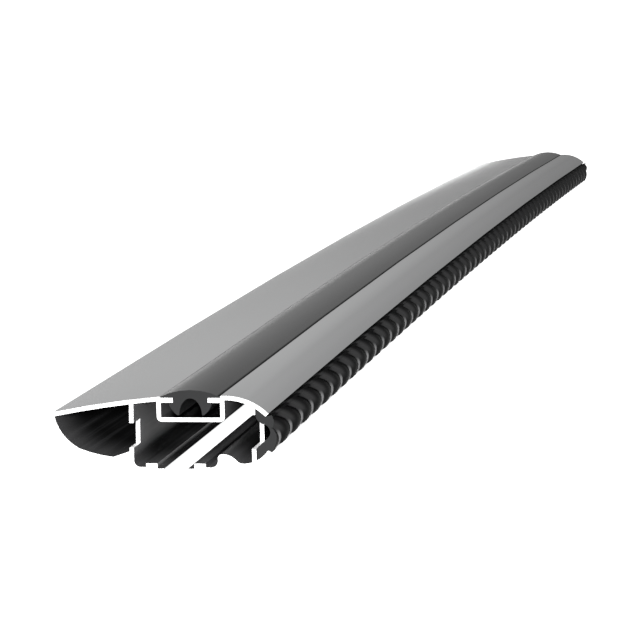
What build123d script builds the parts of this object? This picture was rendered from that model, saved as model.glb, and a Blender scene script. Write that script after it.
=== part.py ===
from build123d import *
import math
import os

# A roof rack crossbar without its feet: one arched aluminium extrusion of wing section,
# a rubber infill strip in its top slot and a ribbed rubber strip in its nose.
# X runs along the bar, +Y points to the tail, -Y to the nose, Z is up. All sizes are in mm.

# Bar as a whole
bar_length = 1165.0
bar_width = 80.0
arch_radius = 43000.0
wall = 1.5

# Top skin: heights over the channel floor, and how far each stretch bows outwards
slot_edge_height = 26.3
slot_tail_height = 26.0
tail_height = 20.2
tail_top_rise = 0.55
tail_round = 1.5
nose_skin_height = 20.3
nose_skin_setback = 2.9
nose_top_rise = 1.9

# Top slot
slot_y = -10.0
slot_inside = 20.8
slot_depth = 5.1
slot_mouth = 12.2
lip_thickness = 1.7
lip_recess = 0.7
lip_seat_margin = 0.2
slot_box_corner = 1.7

# Webs, and the clip notches cut into them at both ends of the bar
front_wall_setback = 7.5
web_lean = 0.5
web_notch_low = 8.2
web_notch_high = 16.8
web_notch_length = 9.0
front_notch_low = 8.0
front_notch_high = 19.8
front_notch_length = 14.0

# Underside channel
channel_y = -4.25
channel_width = 32.5
channel_corner = 3.8
underside_slot_y = -4.2
underside_slot = 8.2
slot_lip_thickness = 1.0
slot_lip_reach = 2.4
upstand_width = 4.0
upstand_height = 2.8

# Tail belly and the two coves beside the channel
tail_cove_height = 5.3
tail_cove_width = 5.6
belly_low = 3.4
belly_bend_inset = 9.6
belly_bend_height = 6.5
belly_flat_rise = 0.45
belly_tail_rise = 2.0
nose_cove_height = 4.6
nose_cove_rise = 0.5
nose_floor_inset = 11.8
nose_floor_height = 1.4

# Lower lip of the nose pocket
lip_end_setback = 2.2
lip_end_height = 6.65
lower_lip_rise = 1.3

# Infill strip
fit_gap = 0.1
crown_rise = 2.0
flange_edge = 0.4
barb_reach = 1.4
barb_height = 0.7
leg_gap = 0.8
leg_tip_width = 0.7
leg_tip_spread = 9.4
leg_rise = 0.3
infill_roof = 2.9

# Nose strip: a hollow bulb round a centre line inside the nose, held by two roots
nose_radius = 12.0
nose_centre_height = 13.4
top_angle = 32.0
low_angle = 33.0
land_width = 0.9
groove_top_depth = 2.1
groove_side_depth = 1.6
groove_low_depth = 0.9
bulb_wall = 2.5
hollow_wall_rise = 6.1
hollow_shoulder_rise = 3.1
hollow_shoulder_inset = 4.4
hollow_roof_rise = 0.7
hollow_chin_drop = 1.7
hollow_chin_inset = 3.5
hollow_root_drop = 5.0
low_root_stand_off = 0.3

# Ribs across the nose strip: broad rounded crests that sweep back along the bar towards their tops
rib_pitch = 20.0
ribs_per_run = 5
first_rib = 1.4
rib_sweep = 24.0
rib_stations = 7
rib_gap = 0.8
rib_edge = 0.3
rib_root = 0.3
rib_set_in = 0.1

half = bar_width / 2
half_angle = math.degrees(bar_length / 2 / arch_radius)
end_drop = arch_radius * (1 - math.cos(math.radians(half_angle)))
arch_axis = Axis((0, 0, end_drop - arch_radius), (0, 1, 0))

nose_y = -half
front_wall_y = nose_y + front_wall_setback
channel_tail_y = channel_y + channel_width / 2
channel_nose_y = channel_y - channel_width / 2
slot_floor = slot_edge_height - lip_recess - lip_thickness - slot_depth
lip_top = slot_edge_height - lip_recess
lip_under = lip_top - lip_thickness
seat_half = slot_inside / 2 + lip_seat_margin

# Corners of the wing's outline, from the tail over the top to the nose and back underneath
tail = (half, tail_height)
slot_tail = (slot_y + seat_half, slot_tail_height)
slot_nose = (slot_y - seat_half, slot_edge_height)
skin_end = (nose_y + nose_skin_setback, nose_skin_height)
lip_end = (nose_y + lip_end_setback, lip_end_height)
nose_floor = (nose_y + nose_floor_inset, nose_floor_height)
nose_cove = (channel_nose_y, nose_cove_height)
cove_turn = ((nose_floor[0] + nose_cove[0]) / 2, (nose_floor[1] + nose_cove[1]) / 2)
tail_cove = (channel_tail_y, tail_cove_height)
belly = (channel_tail_y + tail_cove_width, belly_low)
belly_bend = (half - belly_bend_inset, belly_bend_height)

# Stretches of skin between those corners, each with the height of its bow
skins = [
    (tail, slot_tail, tail_top_rise),
    (slot_nose, skin_end, nose_top_rise),
    (lip_end, nose_floor, lower_lip_rise),
    (nose_floor, cove_turn, nose_cove_rise),
    (cove_turn, nose_cove, -nose_cove_rise),
    (tail_cove, belly, 0),
    (belly, belly_bend, belly_flat_rise),
    (belly_bend, tail, belly_tail_rise),
]


def midway(start, end, rise):
    """The point that stands to the left of a chord's middle by the rise."""
    along_y = end[0] - start[0]
    along_z = end[1] - start[1]
    chord = math.hypot(along_y, along_z)
    middle_y = (start[0] + end[0]) / 2 - along_z / chord * rise
    middle_z = (start[1] + end[1]) / 2 + along_y / chord * rise
    return (middle_y, middle_z)


def circle_of(start, end, rise):
    """Centre and radius of the arc that bows to the right of its chord by the rise."""
    half_chord = math.dist(start, end) / 2
    radius = (half_chord ** 2 + rise ** 2) / (2 * rise)
    return midway(start, end, radius - rise), radius


def towards(centre, point, radius):
    """The point at a radius from a centre, in the direction of another point."""
    share = radius / math.dist(centre, point)
    return (centre[0] + (point[0] - centre[0]) * share, centre[1] + (point[1] - centre[1]) * share)


def bowed(start, end, rise):
    """An edge whose middle stands to the right of its chord by the rise."""
    if rise == 0:
        return Line(start, end)
    return ThreePointArc(start, midway(start, end, -rise), end)


def band(start, end, rise):
    """A stretch of skin, one wall thick, to the left of its outer edge."""
    if rise == 0:
        lean_y = (start[1] - end[1]) / math.dist(start, end) * wall
        lean_z = (end[0] - start[0]) / math.dist(start, end) * wall
        inner_start = (start[0] + lean_y, start[1] + lean_z)
        inner_end = (end[0] + lean_y, end[1] + lean_z)
        return make_face(Polyline(start, end, inner_end, inner_start, close=True))
    centre, radius = circle_of(start, end, rise)
    inner_radius = abs(radius - wall)
    inner = [towards(centre, point, inner_radius) for point in (end, midway(start, end, -rise), start)]
    return make_face([
        bowed(start, end, rise), Line(end, inner[0]), ThreePointArc(*inner), Line(inner[2], start),
    ])


def pocket_side(centre, end, radius, root_y, up):
    """Three points of the pocket's round side: at its lip's end, halfway and at a root further in."""
    corner = towards(centre, end, radius)
    root = (root_y, centre[1] + up * math.sqrt(radius ** 2 - (root_y - centre[0]) ** 2))
    return corner, towards(centre, midway(corner, root, 0), radius), root


def rectangle(y_from, y_to, z_from, z_to):
    """A rectangle of the cross-section between two widths and two heights."""
    corner = (min(y_from, y_to), z_from)
    size = (abs(y_to - y_from), z_to - z_from)
    return Pos(*corner) * Rectangle(*size, align=(Align.MIN, Align.MIN))


def rounded(face, corner, radius):
    """The face with the vertex nearest to a corner rounded off."""
    vertex = face.vertices().sort_by_distance((*corner, 0))[0]
    return fillet(vertex, radius)


def wing_outline():
    """The wing's outer outline, closed across the top slot, the nose and the channel."""
    edges = [bowed(*stretch) for stretch in skins]
    edges += [Line(slot_tail, slot_nose), Line(skin_end, lip_end), Line(nose_cove, tail_cove)]
    return rounded(make_face(edges), tail, tail_round)


def channel_block(inset):
    """The underside channel's outline up into the wing, or with an inset the space inside it."""
    top = max(nose_cove_height, tail_cove_height) + wall + inset
    nose_side = channel_nose_y + inset
    tail_side = channel_tail_y - inset
    block = rectangle(nose_side, tail_side, inset, top)
    block = rounded(block, (nose_side, inset), channel_corner - inset)
    return rounded(block, (tail_side, inset), channel_corner - inset)


def upstands():
    """The two low upstands on the channel floor and the thin lips beside the slot."""
    raised = []
    thinned = []
    for side in (1, -1):
        edge = underside_slot_y + side * underside_slot / 2
        root = edge + side * slot_lip_reach
        raised.append(rectangle(root, root + side * upstand_width, 0, upstand_height))
        thinned.append(rectangle(edge, root, slot_lip_thickness, upstand_height))
    return raised, thinned


def web(top):
    """The upright web over the channel's tail side, which leans a little towards the nose."""
    lean = web_lean * (top - channel_corner) / (slot_edge_height - channel_corner)
    foot = (channel_tail_y, channel_corner)
    head = (channel_tail_y - lean, top)
    inner_head = (head[0] - wall, head[1])
    inner_foot = (foot[0] - wall, foot[1])
    return make_face(Polyline(foot, head, inner_head, inner_foot, close=True))


def slot_box(box_half, top):
    """The outside of the top slot's box, its lower corners rounded."""
    box_floor = slot_floor - wall
    box = rectangle(slot_y - box_half, slot_y + box_half, box_floor, top)
    for corner_y in (slot_y - box_half, slot_y + box_half):
        box = rounded(box, (corner_y, box_floor), slot_box_corner)
    return box


def extrusion_section():
    """The aluminium section: skin, webs, top slot, nose pocket and underside channel."""
    outer = wing_outline() + channel_block(0)
    tall = slot_edge_height + bar_width
    slot_half = slot_inside / 2
    below_nose_cove = rectangle(-half, half, 0, nose_cove_height)
    solid = (channel_block(0) - channel_block(wall)) & below_nose_cove
    solid += web(tall)
    solid += rectangle(front_wall_y, front_wall_y + wall, 0, tall)
    solid += slot_box(slot_half + wall, tall)
    for stretch in skins:
        solid += band(*stretch)
    for corner in (nose_floor, nose_cove, tail_cove, belly, belly_bend):
        solid += Pos(*corner) * Circle(wall)
    solid = solid & outer
    raised, thinned = upstands()
    for upstand in raised:
        solid += upstand
    for relief in thinned:
        solid -= relief
    solid -= rectangle(slot_y - slot_half, slot_y + slot_half, slot_floor, lip_under)
    solid -= rectangle(slot_y - slot_mouth / 2, slot_y + slot_mouth / 2, slot_floor, tall)
    solid -= rectangle(slot_y - seat_half, slot_y + seat_half, lip_top, tall)
    slot_tail_side = underside_slot_y + underside_slot / 2
    slot_nose_side = underside_slot_y - underside_slot / 2
    return solid - rectangle(slot_nose_side, slot_tail_side, -wall, upstand_height)


def infill_section():
    """The infill strip: a domed top over the lips, barbs under them and two splayed legs."""
    flange_half = seat_half - fit_gap
    neck_half = slot_mouth / 2 - fit_gap
    barb_half = neck_half + barb_reach
    barb_top = lip_under - fit_gap
    leg_end = slot_floor + leg_gap
    leg_out = leg_tip_spread / 2
    leg_in = leg_out - leg_tip_width
    crown = slot_edge_height + crown_rise
    hollow = crown - infill_roof - leg_end
    side = [
        (flange_half, lip_top + flange_edge),
        (flange_half, lip_top),
        (neck_half, lip_top),
        (neck_half, barb_top),
        (barb_half, barb_top),
        (barb_half, barb_top - barb_height),
    ]
    other_side = [(-across, height) for across, height in side]
    edges = [
        ThreePointArc(other_side[0], (0, crown), side[0]),
        Polyline(*side),
        bowed(side[-1], (leg_out, leg_end), -leg_rise),
        Line((leg_out, leg_end), (leg_in, leg_end)),
        EllipticalCenterArc((0, leg_end), leg_in, hollow, start_angle=0, arc_size=180),
        Line((-leg_in, leg_end), (-leg_out, leg_end)),
        bowed((-leg_out, leg_end), other_side[-1], -leg_rise),
        Polyline(*other_side),
    ]
    return Pos(slot_y, 0) * make_face(edges)


def on_nose(radius, angle):
    """A point of the cross-section round the nose strip's centre line, with angles up from level."""
    turn = math.radians(angle)
    centre_y = nose_y + nose_radius
    return (centre_y - radius * math.cos(turn), nose_centre_height + radius * math.sin(turn))


def groove_floor(angle):
    """How far the grooves' floor lies from the nose strip's centre line, at an angle."""
    low_share = max(-angle, 0) / low_angle
    top_share = max(angle, 0) / top_angle
    low_part = (groove_side_depth - groove_low_depth) * low_share
    top_part = (groove_top_depth - groove_side_depth) * top_share
    return nose_radius - groove_side_depth + low_part - top_part


def nose_outside():
    """The strip's outer side between its ribs: a land along the top and the grooves' round floor."""
    land_end = top_angle - math.degrees(land_width / nose_radius)
    floor = [on_nose(groove_floor(angle), angle) for angle in (land_end, 0, -low_angle)]
    return [
        Polyline(on_nose(nose_radius, top_angle), on_nose(nose_radius, land_end), floor[0]),
        ThreePointArc(*floor),
    ]


def nose_section():
    """The nose strip: its outer side, the roots that fill the pocket's corners and the hollow behind."""
    seat = front_wall_y - fit_gap
    root = front_wall_y - low_root_stand_off
    skin_centre, skin_radius = circle_of(slot_nose, skin_end, nose_top_rise)
    lip_centre, lip_radius = circle_of(lip_end, nose_floor, lower_lip_rise)
    skin_side = pocket_side(skin_centre, skin_end, skin_radius - wall - fit_gap, seat, 1)
    lip_side = pocket_side(lip_centre, lip_end, lip_radius - wall - fit_gap, root, -1)
    wall_top = (seat, nose_centre_height + hollow_wall_rise)
    shoulder = (nose_y + hollow_shoulder_inset, nose_centre_height + hollow_shoulder_rise)
    chin = (nose_y + hollow_chin_inset, nose_centre_height - hollow_chin_drop)
    root_top = (root, nose_centre_height - hollow_root_drop)
    return make_face(nose_outside() + [
        Line(on_nose(groove_floor(-low_angle), -low_angle), lip_side[0]),
        ThreePointArc(*lip_side),
        Polyline(lip_side[2], root_top, chin),
        ThreePointArc(chin, (nose_y + bulb_wall, nose_centre_height), shoulder),
        bowed(shoulder, wall_top, hollow_roof_rise),
        Line(wall_top, skin_side[2]),
        ThreePointArc(*skin_side),
        Line(skin_side[0], on_nose(nose_radius, top_angle)),
    ])


def along_bar(section):
    """A section drawn across the bar, carried along the whole arch."""
    start = (Pos(0, 0, end_drop) * (Plane.YZ * section)).rotate(arch_axis, -half_angle)
    return revolve(start, arch_axis, 2 * half_angle)


def station(distance):
    """The place on the arch at a distance from the bar's middle."""
    centre = Pos(0, 0, end_drop - arch_radius)
    return centre * Rot(0, math.degrees(distance / arch_radius), 0) * centre.inverse()


def rib():
    """One rib: a broad rounded crest wrapped round the nose, swept back along the bar towards its top."""
    crest = nose_radius - rib_set_in
    half_width = (rib_pitch - rib_gap) / 2
    centre = (0, nose_y + nose_radius, nose_centre_height + end_drop)
    rib_top = top_angle - math.degrees(land_width / nose_radius) / 2
    sections = []
    for index in range(rib_stations):
        share = index / (rib_stations - 1)
        angle = share * (rib_top + low_angle) - low_angle
        middle = -rib_sweep * share ** 2
        front = middle - half_width
        back = middle + half_width
        edge = groove_floor(angle) + rib_edge
        root = groove_floor(angle) - rib_root
        profile = make_face([
            ThreePointArc((front, edge), (middle, crest), (back, edge)),
            Polyline((back, edge), (back, root), (front, root), (front, edge)),
        ])
        turn = math.radians(angle)
        across = Plane(centre, x_dir=(1, 0, 0), z_dir=(0, -math.sin(turn), -math.cos(turn)))
        sections.append(across * profile)
    return loft(sections, ruled=True)


def beyond(distance):
    """The space past a place on the arch, away from the bar's middle."""
    room = ribs_per_run * rib_pitch
    block = Box(room, 2 * bar_width, 2 * bar_width)
    return station(distance) * Pos(math.copysign(room / 2, distance), 0, 0) * block


def strip_run():
    """A straight run of the nose strip with its ribs, ends square to the arch."""
    half_run = ribs_per_run * rib_pitch / 2
    section = Pos(0, 0, end_drop) * (Plane.YZ * nose_section())
    run = extrude(section, half_run + wall, both=True)
    one_rib = rib()
    further = math.ceil(rib_sweep / rib_pitch)
    ribs = []
    for index in range(ribs_per_run + further):
        ribs.append(Pos((index + 0.5) * rib_pitch - half_run, 0, 0) * one_rib)
    return run.fuse(*ribs) - beyond(half_run) - beyond(-half_run)


def ribbed_strip():
    """The nose strip: runs laid end to end along the arch, cut flush at both ends of the bar."""
    run_length = ribs_per_run * rib_pitch
    start = first_rib - rib_pitch / 2
    count = math.ceil((bar_length - start) / run_length)
    one_run = strip_run()
    runs = []
    for index in range(count):
        runs.append(station(start + (index + 0.5) * run_length - bar_length / 2) * one_run)
    runs[0] = runs[0] - beyond(-bar_length / 2)
    runs[-1] = runs[-1] - beyond(bar_length / 2)
    return runs[0].fuse(*runs[1:])


def clip_notches():
    """The openings cut into the web and the front wall at both ends of the bar."""
    cuts = []
    for side in (1, -1):
        for face_y, low, high, length in (
            (channel_tail_y - wall / 2, web_notch_low, web_notch_high, web_notch_length),
            (front_wall_y + wall / 2, front_notch_low, front_notch_high, front_notch_length),
        ):
            block = Box(2 * length, 2 * wall, high - low)
            cuts.append(station(side * bar_length / 2) * Pos(0, face_y, end_drop + (low + high) / 2) * block)
    return cuts


os.makedirs("parts", exist_ok=True)
export_step(along_bar(extrusion_section()).cut(*clip_notches()), "parts/bar_extrusion.step")
export_step(along_bar(infill_section()), "parts/infill_strip.step")
export_step(ribbed_strip(), "parts/nose_strip.step")
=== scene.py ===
"""Looks of an arched roof rack crossbar: satin skins, sawn ends, rubber strips and a pale studio."""

import math

import bmesh
import bpy
from bpy.props import FloatProperty, FloatVectorProperty, PointerProperty
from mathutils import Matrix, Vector
from mathutils.bvhtree import BVHTree


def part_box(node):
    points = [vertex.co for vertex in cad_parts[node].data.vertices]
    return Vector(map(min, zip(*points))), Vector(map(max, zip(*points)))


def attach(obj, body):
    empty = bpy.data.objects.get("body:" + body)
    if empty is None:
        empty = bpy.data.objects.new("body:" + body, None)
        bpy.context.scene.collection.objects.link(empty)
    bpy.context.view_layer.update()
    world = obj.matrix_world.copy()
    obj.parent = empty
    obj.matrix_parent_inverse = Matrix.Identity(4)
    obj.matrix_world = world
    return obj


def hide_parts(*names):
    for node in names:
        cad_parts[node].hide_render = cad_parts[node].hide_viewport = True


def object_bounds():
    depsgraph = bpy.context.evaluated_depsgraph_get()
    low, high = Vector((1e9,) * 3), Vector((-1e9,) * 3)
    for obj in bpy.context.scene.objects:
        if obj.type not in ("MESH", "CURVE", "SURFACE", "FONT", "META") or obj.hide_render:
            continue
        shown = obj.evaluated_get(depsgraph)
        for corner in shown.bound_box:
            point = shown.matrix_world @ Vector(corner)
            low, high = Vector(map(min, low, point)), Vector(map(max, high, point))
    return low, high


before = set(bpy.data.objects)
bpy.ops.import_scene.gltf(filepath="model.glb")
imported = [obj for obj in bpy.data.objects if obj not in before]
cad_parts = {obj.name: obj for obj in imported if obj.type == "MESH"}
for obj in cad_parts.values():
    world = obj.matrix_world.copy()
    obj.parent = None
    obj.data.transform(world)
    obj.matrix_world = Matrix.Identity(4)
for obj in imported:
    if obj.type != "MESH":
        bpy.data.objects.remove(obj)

bl_info = {
    "name": "Roof rack crossbar looks",
    "version": (1, 0, 0),
    "blender": (4, 5, 0),
    "location": "3D View > Sidebar > Crossbar",
    "description": "Dresses the crossbar's solids with smooth skins, sawn ends, rubber and studio light",
    "category": "Object",
}

CAD_BOX = [list(corner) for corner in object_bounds()]
HALF_LENGTH = CAD_BOX[1][0]
DOWN = Vector((0.0, 0.0, -1.0))
WHITE = (1.0, 1.0, 1.0, 1.0)

# The finishes of the bar, and of a strip, in their order on the piece.
SKIN, HOLLOW, SAWN, PAINTED_LIGHT = range(4)
MOULDED, CUT = range(2)

# How much of a face's normal lies along an axis when the face counts as turned that way.
TURNED_TO_AXIS = 0.5
TURNED_TO_NOSE = 0.3
SQUARE_TO_END = 0.99

# Metres: points closer than this are one, edges shorter than this go, and rays start this far off a face.
SAME_POINT = 1e-6
NO_EDGE = 1e-7
OFF_FACE = 1e-4
# Depth in which the cut faces at a strip's ends lie.
CUT_DEPTH = 0.002

# Fine marks in waves per metre along the bar, across it and up, and how ragged they are.
LINES_ALONG_SKIN = 1.6
LINES_ALONG_HOLLOW = 2.5
HOLLOW_LINE_SHARE = 0.7
SKIN_CLOUDS = (9.0, 30.0, 30.0)
SAW_SCRATCHES = (1.0, 120.0, 5200.0)
SAW_LEAN = (math.radians(24), 0.0, 0.0)
RUBBER_GRAIN = (2200.0, 2200.0, 2200.0)
RUBBER_CLOUDS = (14.0, 60.0, 60.0)
FLOOR_CLOUDS = (3.0, 3.0, 3.0)
RAGGED = 0.6

# Heights of those marks in metres.
SKIN_LINE_HEIGHT = 0.000001
HOLLOW_LINE_HEIGHT = 0.00003
SCRATCH_HEIGHT = 0.00002
GRAIN_HEIGHT = 0.000004

# How much of a tone's variation is its finest marks and how much its soft clouds.
FINE_PART = 0.4
CLOUD_PART = 0.6

# Walls of the hollows, in painted shade: where streaks show, how dark and bright they are, how metallic the
# shaded walls are, and how metallic they are in the painted light near the ends.
HOLLOW_STREAKS = (0.48, 0.72)
STREAK_DARK = 0.6
STREAK_BRIGHT = 2.2
HOLLOW_SHADE_METAL = 0.85
END_LIGHT_METAL = 0.40

# Bare metal under the saw.
SAWN_DARK = 0.93
SAWN_METAL = 0.25
SAWN_ROUGHNESS = 0.38

# The painted shadow beside the infill: metres from the strip's edge over which it ends, its tone and
# dullness.
GAP_SHADOW_FADE = (0.0003, 0.0013)
GAP_SHADOW_DARK = 0.4
GAP_SHADOW_ROUGHNESS = 0.7

# Shares of the pitch, across one rib, where its painted highlight streak and its broad painted lit upper
# band start and stop.
STREAK_START = (0.48, 0.52)
STREAK_STOP = (0.58, 0.66)
BAND_START = (0.46, 0.56)
BAND_STOP = (0.70, 1.0)
BAND_SHARE = 0.14
# Share of the way up the nose over which the streak gives way to the band.
STREAK_TO_BAND = (0.30, 0.62)
# Metres along the bar over which both grow fainter, and by how much.
PAINTED_HIGHLIGHT_FADE = (-0.45, 0.35)
PAINTED_HIGHLIGHT_LOSS = 0.7

# Freshly cut rubber.
CUT_ROUGHNESS = 0.6
CUT_IOR = 1.05

# The room's light changes from horizon to backdrop to ceiling with height, and sooner on the tail side.
TAIL_LEAST = 0.04
TAIL_PULL = 0.9
BACKDROP_AT = 0.34
CEILING_AT = 0.9
# The floor's dullness, and the nearest and farthest places that the camera sees, in metres.
FLOOR_ROUGHNESS = 0.9
NEAREST_SEEN = 0.01
FARTHEST_SEEN = 200.0


def colour(label, words, default):
    """A colour that a user may change."""
    return FloatVectorProperty(name=label, description=words, subtype="COLOR", size=4, min=0.0, max=1.0,
                               default=(*default, 1.0))


def length(label, words, default):
    """A length that a user may change."""
    return FloatProperty(name=label, description=words, unit="LENGTH", subtype="DISTANCE", default=default)


def place(label, words, default):
    """A place, in lengths along two or three axes, that a user may change."""
    return FloatVectorProperty(name=label, description=words, unit="LENGTH", subtype="TRANSLATION",
                               size=len(default), precision=5, default=default)


def angle(label, words, degrees):
    """An angle that a user may change."""
    return FloatProperty(name=label, description=words, subtype="ANGLE", default=math.radians(degrees))


def share(label, words, default):
    """A share from nought to one that a user may change."""
    return FloatProperty(name=label, description=words, subtype="FACTOR", min=0.0, max=1.0, default=default)


def strength(label, words, default):
    """A strength from nought up that a user may change."""
    return FloatProperty(name=label, description=words, subtype="UNSIGNED", min=0.0, default=default)


class BarSettings(bpy.types.PropertyGroup):
    """Finishes of the aluminium bar."""
    smooth_angle: angle("Smooth angle", "Edges flatter than this are shaded smooth", 30)
    skin_colour: colour("Skin", "Satin anodised outside of the bar", (0.56, 0.565, 0.57))
    skin_roughness: share("Skin roughness", "How dull the anodised outside is", 0.10)
    # This dark tone is painted shade in the hollows.
    hollow_shade_colour: colour("Inside", "Dark walls of the hollows", (0.022, 0.022, 0.023))
    # This tone is painted light falling in at the open ends.
    painted_end_light_colour: colour("Bloom", "Dull bloom inside the hollows near the ends", (0.075, 0.075, 0.077))
    painted_end_light_reach: length("Bloom reach", "How far the bloom goes into the hollows", 0.035)
    inside_roughness: share("Inside roughness", "How dull the walls of the hollows are", 0.42)
    sawn_colour: colour("Sawn end", "Bare metal where the bar was cut", (0.36, 0.36, 0.36))
    # This tone is painted light: the lower lip's edge and the notch floors made as bright as if lit full
    # on.
    painted_light_colour: colour("Lip", "Bright edge of the lower lip and floors of the notches", (0.95, 0.95, 0.95))
    notch_reach: length("Notch reach", "Faces wholly within this reach of an end are fresh cuts", 0.02)
    # Walls that meet other walls within this reach get the painted shade.
    hollow_reach: length("Hollow reach", "Walls that face each other this near are inside", 0.06)
    # Beyond this the lower lip's edge gets painted light.
    lip_edge: length("Lip edge", "Where across the bar the bare edge of the lower lip starts", -0.0366)
    die_line_width: length("Die line width", "Spacing of the fine lines left along the bar", 0.0011)


class StripSettings(bpy.types.PropertyGroup):
    """Finishes of the two rubber strips."""
    smooth_angle: angle("Smooth angle", "Edges flatter than this are shaded smooth", 42)
    infill_colour: colour("Infill", "Rubber of the strip in the top slot", (0.013, 0.0131, 0.0133))
    infill_roughness: share("Infill roughness", "How dull the infill strip is", 0.18)
    infill_ior: strength("Infill sheen", "Index of refraction behind the infill strip's sheen", 1.16)
    nose_colour: colour("Nose", "Rubber of the ribbed strip in the nose", (0.0048, 0.0048, 0.0049))
    # This pale tone is painted light: a highlight on the ribs' lower flanks and a lit band higher up.
    painted_highlight_colour: colour("Rib scuff", "Paler lower flanks of the ribs", (0.11, 0.11, 0.111))
    rib_pitch: length("Rib pitch", "Spacing of the ribs along the nose", 0.020)
    first_rib: length("First rib", "Where the first rib crosses the lower edge, from the near end", 0.0014)
    rib_sweep: length("Rib sweep", "How far the ribs lean back at the top of the nose", 0.024)
    nose_centre: place("Nose centre", "Centre of the nose's round, across and up", (-0.028, 0.0134))
    nose_top: angle("Nose top", "Angle of the ribs' upper ends", 30)
    nose_low: angle("Nose low", "Angle of the ribs' lower ends", 33)
    arch_radius: length("Arch radius", "Radius of the bar's gentle arch", 43.0)
    nose_roughness: share("Nose roughness", "How dull the nose strip is", 0.22)
    nose_ior: strength("Nose sheen", "Index of refraction behind the nose strip's sheen", 1.006)
    cut_colour: colour("Cut rubber", "Rubber where the strips were cut", (0.0112, 0.0113, 0.0115))


class StudioSettings(bpy.types.PropertyGroup):
    """Camera, light and floor."""
    camera_place: place("Camera place", "Where the camera stands", (-1.493588, -0.229759, 0.169785))
    camera_turn: FloatVectorProperty(
        name="Camera turn", description="How the camera is turned", unit="ROTATION", subtype="EULER",
        size=3, precision=5, default=(1.447448, 0.026349, -1.382660))
    field_of_view: angle("Field of view", "Width of the camera's view", 12.8369)
    floor_size: length("Floor size", "Half the side of the floor", 60.0)
    floor_colour: colour("Floor", "Tint of the pale floor", (0.06, 0.06, 0.06))
    floor_glow: strength("Floor glow", "Light that the floor gives off", 1.4)
    key_strength: strength("Key light", "Strength of the soft light from behind the camera", 14.0)
    key_spread: angle("Key spread", "Width of the soft light, seen from the bar", 8)
    key_way: FloatVectorProperty(
        name="Key way", description="Way from the bar to the soft light", subtype="DIRECTION", size=3,
        default=(-0.96, -0.17, 0.17))
    horizon_light: strength("Horizon light", "Brightness of the room at eye level on the nose side", 0.07)
    backdrop_light: strength("Backdrop light", "Brightness of the far wall on the tail side", 0.53)
    ceiling_light: strength("Ceiling light", "Brightness of the room overhead", 0.30)


class Value:
    """A number that changes over a surface, written with plain arithmetic."""

    def __init__(self, shading, socket):
        self.shading = shading
        self.socket = socket

    def _math(self, operation, first, second):
        """The outcome of one step of arithmetic."""
        made = self.shading.node("ShaderNodeMath", {"operation": operation}, {0: first, 1: second})
        return Value(self.shading, made.outputs["Value"])

    def __add__(self, other):
        return self._math("ADD", self, other)

    def __radd__(self, other):
        return self._math("ADD", other, self)

    def __sub__(self, other):
        return self._math("SUBTRACT", self, other)

    def __rsub__(self, other):
        return self._math("SUBTRACT", other, self)

    def __mul__(self, other):
        return self._math("MULTIPLY", self, other)

    def __rmul__(self, other):
        return self._math("MULTIPLY", other, self)

    def __truediv__(self, other):
        return self._math("DIVIDE", self, other)

    def __rtruediv__(self, other):
        return self._math("DIVIDE", other, self)

    def angle_over(self, other):
        """The angle whose tangent is this value over another."""
        return self._math("ARCTAN2", self, other)

    def at_least(self, least):
        """This value, or the least one where this is lower."""
        return self._math("MAXIMUM", self, least)

    def part(self):
        """What is left above the whole number below."""
        return self._math("FRACT", self, 0.0)


class Shading:
    """The nodes of a finish or of the room's light."""

    def __init__(self, tree):
        self.tree = tree
        self.tree.nodes.clear()

    def node(self, kind, settings=None, values=None):
        """A node of a kind with its settings, and with values or links on its sockets."""
        made = self.tree.nodes.new(kind)
        for name, setting in (settings or {}).items():
            if name == "stops":
                self._stops(made.color_ramp, setting)
            else:
                setattr(made, name, setting)
        self.fill(made, values or {})
        return made

    def _stops(self, ramp, stops):
        """Gives a ramp its positions and their shades."""
        while len(ramp.elements) < len(stops):
            ramp.elements.new(1.0)
        for element, (position, shade) in zip(ramp.elements, stops):
            element.position = position
            element.color = shade

    def fill(self, made, values):
        """Sets or links the sockets of a node."""
        for name, value in values.items():
            source = value.socket if isinstance(value, Value) else value
            if isinstance(source, bpy.types.NodeSocket):
                self.tree.links.new(source, made.inputs[name])
            else:
                made.inputs[name].default_value = source

    def parts(self, vector):
        """The three numbers of a vector."""
        made = self.node("ShaderNodeSeparateXYZ", None, {"Vector": vector})
        return [Value(self, made.outputs[axis]) for axis in "XYZ"]


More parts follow.
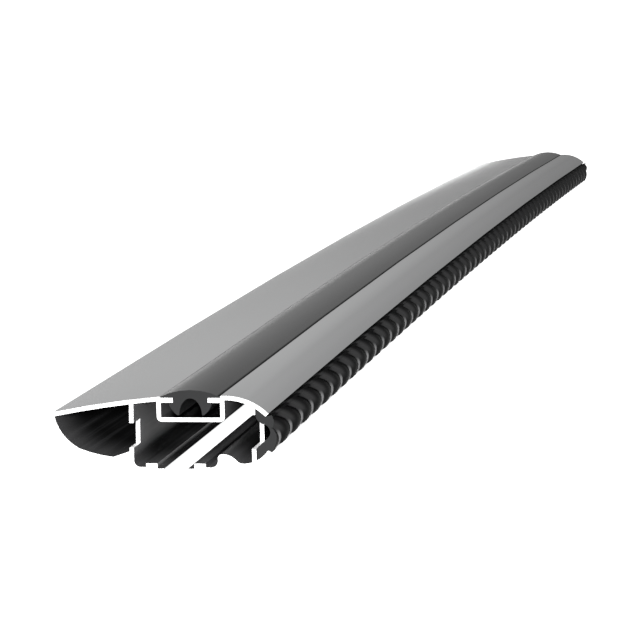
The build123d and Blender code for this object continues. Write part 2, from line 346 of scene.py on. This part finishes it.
class Finish(Shading):
    """One material and the nodes that make it."""

    def __init__(self, name):
        self.material = bpy.data.materials.new(name)
        self.material.use_nodes = True
        super().__init__(self.material.node_tree)
        self.shader = self.node("ShaderNodeBsdfPrincipled")
        self.node("ShaderNodeOutputMaterial", None, {"Surface": self.shader.outputs["BSDF"]})

    def place(self):
        """The place on the piece, in its own metres."""
        return self.node("ShaderNodeTexCoord").outputs["Object"]

    def noise(self, scale, detail=3.0, turn=(0.0, 0.0, 0.0)):
        """Soft noise with its own scale along each axis."""
        mapping = self.node("ShaderNodeMapping", None,
                            {"Vector": self.place(), "Scale": scale, "Rotation": turn})
        made = self.node("ShaderNodeTexNoise", None, {"Vector": mapping.outputs["Vector"], "Scale": 1.0,
                                                      "Detail": detail, "Roughness": RAGGED})
        return Value(self, made.outputs["Fac"])

    def mix(self, factor, first, second):
        """Two colours mixed by a factor."""
        made = self.node("ShaderNodeMix", {"data_type": "RGBA"}, {"Factor": factor, 6: first, 7: second})
        return made.outputs[2]

    def between(self, factor, tone, spread):
        """A tone made darker and lighter by up to a spread."""
        return self.mix(factor, shaded(tone, 1.0 - spread), shaded(tone, 1.0 + spread))

    def step(self, value, low, high):
        """A mask that rises from nought to one between two values."""
        made = self.node("ShaderNodeMapRange", {"interpolation_type": "SMOOTHSTEP"},
                         {"Value": value, "From Min": low, "From Max": high})
        return Value(self, made.outputs["Result"])

    def band(self, value, start, stop):
        """A mask that rises over one span and falls over a later one."""
        return self.step(value, *start) * (1.0 - self.step(value, *stop))

    def bump(self, height, distance, amount):
        """A surface roughened by a height."""
        made = self.node("ShaderNodeBump", None,
                         {"Height": height, "Distance": distance, "Strength": amount})
        return made.outputs["Normal"]

    def surface(self, **values):
        """Sets or links the shader's own sockets, named with underscores for spaces."""
        self.fill(self.shader, {name.replace("_", " "): value for name, value in values.items()})
        return self.material


def shaded(tone, factor):
    """A colour made darker or lighter by a factor."""
    return (*(min(part * factor, 1.0) for part in tone[:3]), 1.0)


def anodised_skin(settings):
    """Satin anodised aluminium with faint die lines along the bar."""
    finish = Finish("anodised_skin")
    fine = 1 / settings.die_line_width
    lines = finish.noise((LINES_ALONG_SKIN, fine, fine))
    clouds = finish.noise(SKIN_CLOUDS, 2.0)
    return finish.surface(
        Base_Color=finish.between(lines * FINE_PART + clouds * CLOUD_PART, settings.skin_colour, 0.04),
        Metallic=1.0,
        Roughness=lines * 0.02 + clouds * 0.02 + (settings.skin_roughness - 0.02),
        Normal=finish.bump(lines, SKIN_LINE_HEIGHT, 0.1))


def painted_hollow_shade(settings):
    """Walls inside the hollows in painted shade, with streaks along the bar and painted light towards the
    open ends.
    """
    finish = Finish("painted_hollow_shade")
    along = finish.parts(finish.place())[0]
    # Painted light, falling in at the open ends and fading deeper in.
    painted_end_light = finish.step(along * along, (HALF_LENGTH - settings.painted_end_light_reach) ** 2, HALF_LENGTH ** 2)
    fine = HOLLOW_LINE_SHARE / settings.die_line_width
    lines = finish.noise((LINES_ALONG_HOLLOW, fine, fine), 4.0)
    tone = finish.mix(finish.step(lines, *HOLLOW_STREAKS), shaded(settings.hollow_shade_colour, STREAK_DARK),
                      shaded(settings.hollow_shade_colour, STREAK_BRIGHT))
    return finish.surface(
        Base_Color=finish.mix(painted_end_light * (lines * 0.5 + 0.6), tone, settings.painted_end_light_colour),
        Metallic=HOLLOW_SHADE_METAL - painted_end_light * (HOLLOW_SHADE_METAL - END_LIGHT_METAL),
        Roughness=lines * 0.2 + (settings.inside_roughness - 0.1),
        Normal=finish.bump(lines, HOLLOW_LINE_HEIGHT, 0.6))


def bare_metal(name, tone):
    """Bare metal with the fine scratches of a saw."""
    finish = Finish(name)
    scratches = finish.noise(SAW_SCRATCHES, 3.0, SAW_LEAN)
    return finish.surface(
        Base_Color=finish.mix(scratches, shaded(tone, SAWN_DARK), shaded(tone, 1.0)),
        Metallic=SAWN_METAL,
        Roughness=scratches * 0.15 + SAWN_ROUGHNESS,
        Normal=finish.bump(scratches, SCRATCH_HEIGHT, 0.35))


def rubber_body(finish, tone):
    """A rubber's fine grain, its own tone, how its dullness varies, and its grained surface."""
    grain = finish.noise(RUBBER_GRAIN, 2.0)
    clouds = finish.noise(RUBBER_CLOUDS)
    shade = finish.between(grain * FINE_PART + clouds * CLOUD_PART, tone, 0.2)
    dullness = clouds * 0.1 + grain * 0.06 - 0.08
    return grain, shade, dullness, finish.bump(grain, GRAIN_HEIGHT, 0.2)


def cut_rubber(name, settings):
    """Dull rubber where a strip was cut."""
    finish = Finish(name)
    _, shade, dullness, grained = rubber_body(finish, settings.cut_colour)
    return finish.surface(
        Base_Color=shade, Metallic=0.0, IOR=CUT_IOR, Roughness=dullness + CUT_ROUGHNESS, Normal=grained)


def infill_rubber(settings, edge):
    """Smooth dark rubber with a painted shadow, dark and dull, along the edge on the nose side."""
    finish = Finish("infill_rubber")
    across = finish.parts(finish.place())[1]
    # Painted shadow of the gap between the infill and the bar's skin.
    gap_shadow = 1.0 - finish.step(across, edge + GAP_SHADOW_FADE[0], edge + GAP_SHADOW_FADE[1])
    _, shade, dullness, grained = rubber_body(finish, settings.infill_colour)
    return finish.surface(
        Base_Color=finish.mix(gap_shadow, shade, shaded(settings.infill_colour, GAP_SHADOW_DARK)),
        Metallic=0.0,
        IOR=settings.infill_ior,
        Roughness=gap_shadow * GAP_SHADOW_ROUGHNESS + dullness * 0.5 + settings.infill_roughness,
        Normal=grained)


def ribbed_rubber(settings):
    """Black rubber, with a painted highlight on the lower half of each rib's near flank and a fainter
    painted lit band above it.
    """
    finish = Finish("nose_rubber")
    along, across, up = finish.parts(finish.place())
    level = HALF_LENGTH ** 2 / (2 * settings.arch_radius) + settings.nose_centre[1]
    lift = up + along * along / (2 * settings.arch_radius) - level
    turn = lift.angle_over(settings.nose_centre[0] - across)
    climbed = (turn + settings.nose_low) / (settings.nose_top + settings.nose_low)
    from_rib = along + climbed * climbed * settings.rib_sweep + (HALF_LENGTH - settings.first_rib)
    phase = (from_rib / settings.rib_pitch).part()
    streak = finish.band(phase, STREAK_START, STREAK_STOP)
    broad = finish.band(phase, BAND_START, BAND_STOP)
    upper = finish.step(climbed, *STREAK_TO_BAND)
    # The painted highlight and lit band grow fainter along the bar, away from the near end.
    highlight_along_bar = 1.0 - finish.step(along, *PAINTED_HIGHLIGHT_FADE) * PAINTED_HIGHLIGHT_LOSS
    grain, shade, dullness, grained = rubber_body(finish, settings.nose_colour)
    # Painted highlight on the lower rib flanks and a fainter painted lit band higher up.
    painted_highlight = (streak * (1.0 - upper) + broad * upper * BAND_SHARE) * highlight_along_bar * (grain * 0.2 + 0.9)
    return finish.surface(
        Base_Color=finish.mix(painted_highlight, shade, settings.painted_highlight_colour),
        Metallic=0.0,
        IOR=settings.nose_ior,
        Roughness=dullness + settings.nose_roughness,
        Normal=grained)


def pale_floor(settings):
    """A plain pale finish with the faintest clouds."""
    finish = Finish("pale_floor")
    clouds = finish.noise(FLOOR_CLOUDS, 2.0)
    return finish.surface(
        Base_Color=finish.between(clouds, settings.floor_colour, 0.01),
        Roughness=FLOOR_ROUGHNESS,
        Emission_Color=WHITE,
        Emission_Strength=settings.floor_glow)


def smooth_copy(node, name, smooth_angle):
    """A piece made from a node's own solid, with its curved faces shaded smooth."""
    mesh = bpy.data.meshes.new(name)
    bm = bmesh.new()
    bm.from_mesh(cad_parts[node].data)
    bmesh.ops.remove_doubles(bm, verts=bm.verts, dist=SAME_POINT)
    bmesh.ops.dissolve_degenerate(bm, edges=bm.edges, dist=NO_EDGE)
    for face in bm.faces:
        face.smooth = True
    for edge in bm.edges:
        edge.smooth = len(edge.link_faces) == 2 and edge.calc_face_angle(math.pi) < smooth_angle
    bm.to_mesh(mesh)
    bm.free()
    piece = bpy.data.objects.new(name, mesh)
    bpy.context.scene.collection.objects.link(piece)
    return piece


def paint(piece, finishes, choose):
    """Gives each face of a piece the finish that is chosen for it."""
    for finish in finishes:
        piece.data.materials.append(finish)
    for polygon in piece.data.polygons:
        polygon.material_index = choose(polygon)


def settle(piece, node):
    """The piece stands for its solid and rides on the bar."""
    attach(piece, "root")
    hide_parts(node)


def strip_finish(polygon):
    """Which finish a face of a strip has."""
    square = abs(polygon.normal.x) > SQUARE_TO_END
    at_end = abs(polygon.center.x) > HALF_LENGTH - CUT_DEPTH
    return CUT if square and at_end else MOULDED


class CROSSBAR_OT_bar(bpy.types.Operator):
    """Makes the aluminium bar, with its outside, its hollows in painted shade, its sawn ends, and its lip
    and notch floors in painted light, each in their own finish
    """
    bl_idname = "crossbar.bar"
    bl_label = "Aluminium bar"

    def execute(self, context):
        settings = context.scene.crossbar_bar
        bar = smooth_copy("bar_extrusion", "bar", settings.smooth_angle)
        points = [vertex.co.copy() for vertex in bar.data.vertices]
        tree = BVHTree.FromPolygons(points, [polygon.vertices[:] for polygon in bar.data.polygons])
        cut_from = HALF_LENGTH - settings.notch_reach

        def choose(polygon):
            normal = polygon.normal
            # Notch faces near the ends that are not square to the end, and the lower lip's edge, get
            # painted light.
            near_end = all(abs(points[index].x) > cut_from for index in polygon.vertices)
            if near_end and abs(normal.y) < TURNED_TO_AXIS:
                return SAWN if abs(normal.x) > TURNED_TO_AXIS else PAINTED_LIGHT
            beyond_lip = polygon.center.y < settings.lip_edge
            if beyond_lip and normal.y < -TURNED_TO_NOSE and normal.z > TURNED_TO_AXIS:
                return PAINTED_LIGHT
            # Faces enclosed by the bar's own walls get the hollows' painted shade.
            start = polygon.center + normal * OFF_FACE
            hits = [tree.ray_cast(start, way, settings.hollow_reach)[0] for way in (normal, DOWN)]
            return HOLLOW if all(hits) else SKIN

        finishes = (anodised_skin(settings), painted_hollow_shade(settings),
                    bare_metal("sawn_end", settings.sawn_colour),
                    bare_metal("painted_light_lip", settings.painted_light_colour))
        paint(bar, finishes, choose)
        settle(bar, "bar_extrusion")
        return {"FINISHED"}


class CROSSBAR_OT_infill(bpy.types.Operator):
    """Makes the rubber strip that fills the top slot"""
    bl_idname = "crossbar.infill"
    bl_label = "Infill strip"

    def execute(self, context):
        settings = context.scene.crossbar_strips
        strip = smooth_copy("infill_strip", "infill", settings.smooth_angle)
        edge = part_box("infill_strip")[0][1]
        paint(strip, (infill_rubber(settings, edge), cut_rubber("infill_cut", settings)), strip_finish)
        settle(strip, "infill_strip")
        return {"FINISHED"}


class CROSSBAR_OT_nose(bpy.types.Operator):
    """Makes the ribbed rubber strip of the nose"""
    bl_idname = "crossbar.nose"
    bl_label = "Nose strip"

    def execute(self, context):
        settings = context.scene.crossbar_strips
        strip = smooth_copy("nose_strip", "nose", settings.smooth_angle)
        paint(strip, (ribbed_rubber(settings), cut_rubber("nose_cut", settings)), strip_finish)
        settle(strip, "nose_strip")
        return {"FINISHED"}


class CROSSBAR_OT_studio(bpy.types.Operator):
    """Sets the floor, the light and the camera"""
    bl_idname = "crossbar.studio"
    bl_label = "Studio"

    def execute(self, context):
        settings = context.scene.crossbar_studio
        self.floor(context.scene, settings)
        self.key(context.scene, settings)
        self.room(context.scene, settings)
        self.camera(context.scene, settings)
        context.scene.view_settings.view_transform = "Standard"
        return {"FINISHED"}

    def floor(self, scene, settings):
        """One wide flat floor under the bar."""
        mesh = bpy.data.meshes.new("floor")
        bm = bmesh.new()
        bmesh.ops.create_grid(bm, x_segments=1, y_segments=1, size=settings.floor_size)
        bm.to_mesh(mesh)
        bm.free()
        mesh.materials.append(pale_floor(settings))
        floor = bpy.data.objects.new("floor", mesh)
        scene.collection.objects.link(floor)

    def key(self, scene, settings):
        """The soft light from behind the camera."""
        sun = bpy.data.lights.new("key", "SUN")
        sun.energy = settings.key_strength
        sun.angle = settings.key_spread
        lamp = bpy.data.objects.new("key", sun)
        lamp.rotation_euler = Vector(settings.key_way).to_track_quat("Z", "Y").to_euler()
        scene.collection.objects.link(lamp)

    def room(self, scene, settings):
        """The light of the room, from a dim horizon to a bright backdrop and a softer ceiling."""
        scene.world = bpy.data.worlds.new("room")
        scene.world.use_nodes = True
        room = Shading(scene.world.node_tree)
        _, tail, up = room.parts(room.node("ShaderNodeTexCoord").outputs["Generated"])
        levels = ((0.0, settings.horizon_light), (BACKDROP_AT, settings.backdrop_light),
                  (CEILING_AT, settings.ceiling_light))
        stops = [(position, (level, level, level, 1.0)) for position, level in levels]
        ramp = room.node("ShaderNodeValToRGB", {"stops": stops},
                         {"Fac": tail.at_least(TAIL_LEAST) * TAIL_PULL + up})
        background = room.node("ShaderNodeBackground", None, {"Color": ramp.outputs["Color"]})
        room.node("ShaderNodeOutputWorld", None, {"Surface": background.outputs["Background"]})

    def camera(self, scene, settings):
        """The camera that looks along the bar from its near end."""
        camera = bpy.data.cameras.new("camera")
        camera.sensor_fit = "HORIZONTAL"
        camera.angle = settings.field_of_view
        camera.clip_start = NEAREST_SEEN
        camera.clip_end = FARTHEST_SEEN
        stand = bpy.data.objects.new("camera", camera)
        stand.location = settings.camera_place
        stand.rotation_euler = settings.camera_turn
        scene.collection.objects.link(stand)
        scene.camera = stand


class CROSSBAR_PT_panel(bpy.types.Panel):
    """Lists the crossbar's pieces and settings"""
    bl_idname = "CROSSBAR_PT_panel"
    bl_label = "Crossbar"
    bl_space_type = "VIEW_3D"
    bl_region_type = "UI"
    bl_category = "Crossbar"

    def draw(self, context):
        for operator in OPERATORS:
            self.layout.operator(operator.bl_idname)
        for name in SETTINGS:
            group = getattr(context.scene, name)
            box = self.layout.box()
            for key in group.__annotations__:
                box.prop(group, key)


SETTINGS = {
    "crossbar_bar": BarSettings,
    "crossbar_strips": StripSettings,
    "crossbar_studio": StudioSettings,
}
OPERATORS = (CROSSBAR_OT_bar, CROSSBAR_OT_infill, CROSSBAR_OT_nose, CROSSBAR_OT_studio)
CLASSES = (*SETTINGS.values(), *OPERATORS, CROSSBAR_PT_panel)


def register():
    """Adds the settings, the operators and the panel."""
    for made in CLASSES:
        bpy.utils.register_class(made)
    for name, group in SETTINGS.items():
        setattr(bpy.types.Scene, name, PointerProperty(type=group))


def unregister():
    """Takes them away again."""
    for name in SETTINGS:
        delattr(bpy.types.Scene, name)
    for made in reversed(CLASSES):
        bpy.utils.unregister_class(made)


def main():
    """Makes the pieces and the studio."""
    register()
    bpy.ops.crossbar.bar()
    bpy.ops.crossbar.infill()
    bpy.ops.crossbar.nose()
    bpy.ops.crossbar.studio()


if __name__ == "__main__":
    main()
